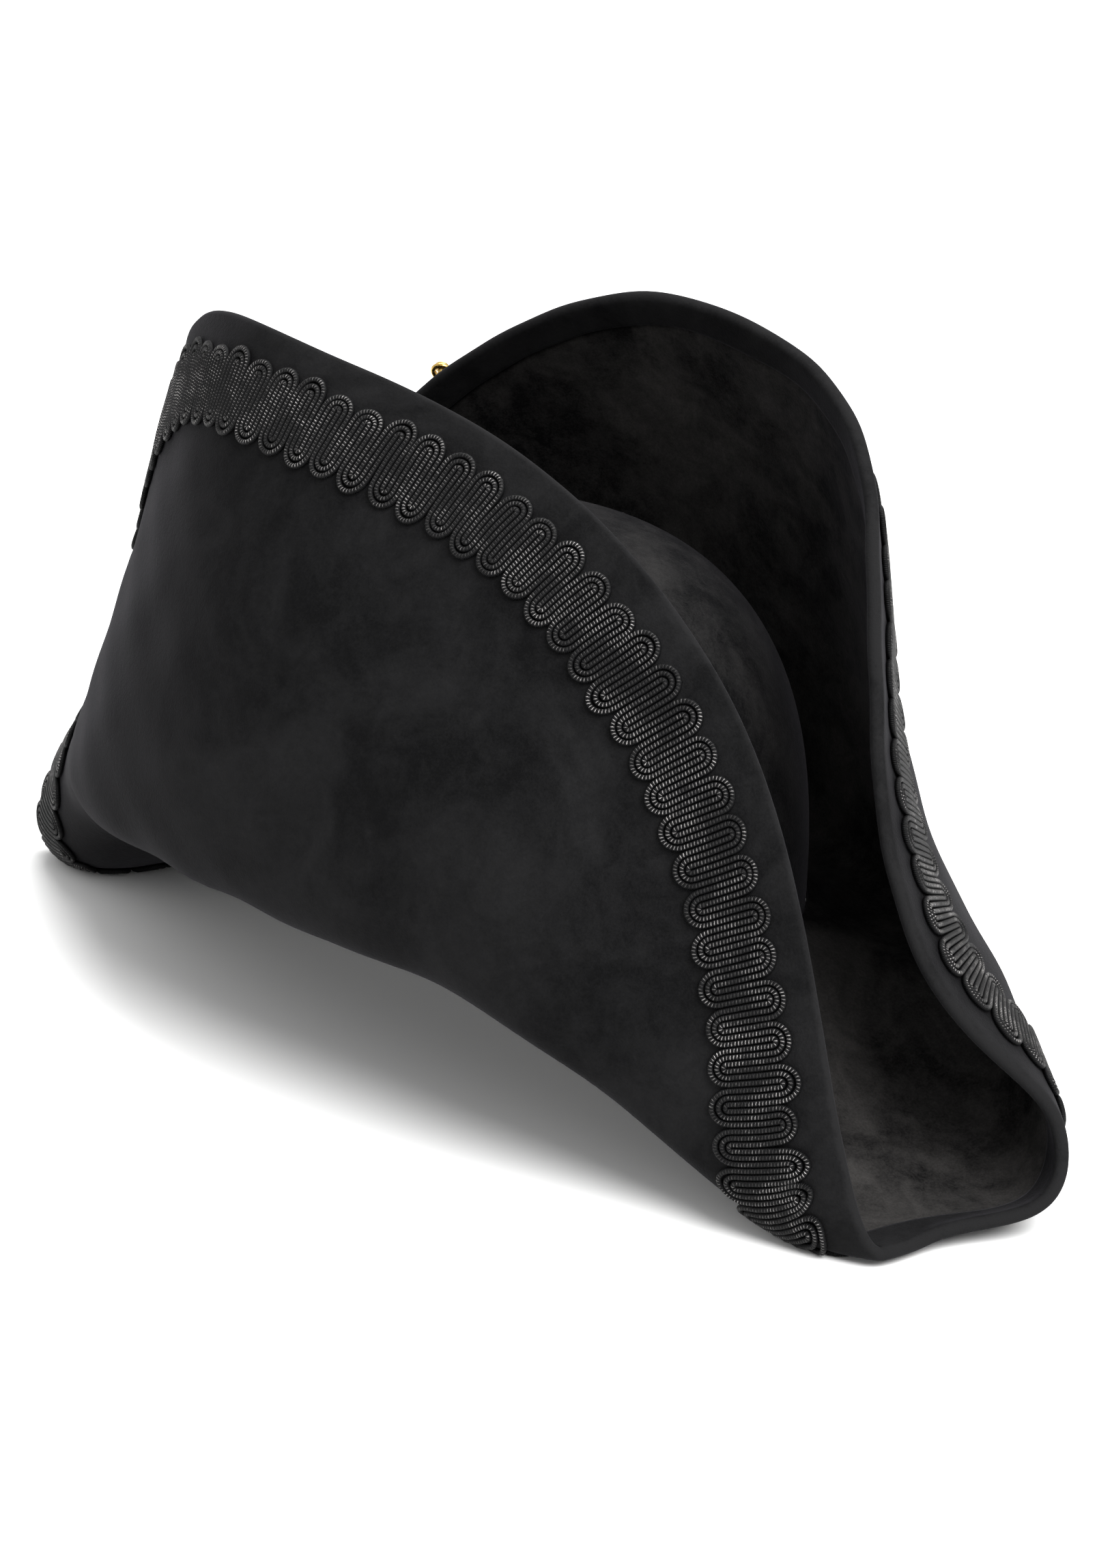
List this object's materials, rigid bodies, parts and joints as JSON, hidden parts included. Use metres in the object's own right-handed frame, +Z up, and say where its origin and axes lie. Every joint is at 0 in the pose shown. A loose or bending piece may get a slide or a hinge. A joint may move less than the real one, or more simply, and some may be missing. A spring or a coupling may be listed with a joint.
{
  "type": "bicorne hat",
  "caption": "Black felt bicorne hat with two turned-up panels, drooping horns, a looped metallic braid along the rim and a short gold chain at one shoulder.",
  "frame": {"origin": "on the surface that the hat rests on, under the middle of its outline", "axes": "+X towards the right horn, +Y towards the back panel with the chain, +Z up"},
  "size_m": [0.4132, 0.197, 0.2197],
  "materials": {
    "felt": "napped blue-black suede cloth",
    "braid": "black cord with fine silver glints",
    "gold": "polished gold-coloured wire"
  },
  "bodies": {
    "root": {"crown": "felt", "brim": "felt", "braid_trim": "braid", "chain_link_1": "gold", "chain_link_2": "gold", "chain_link_3": "gold", "chain_link_4": "gold", "chain_stud": "gold"}
  },
  "joints": []
}
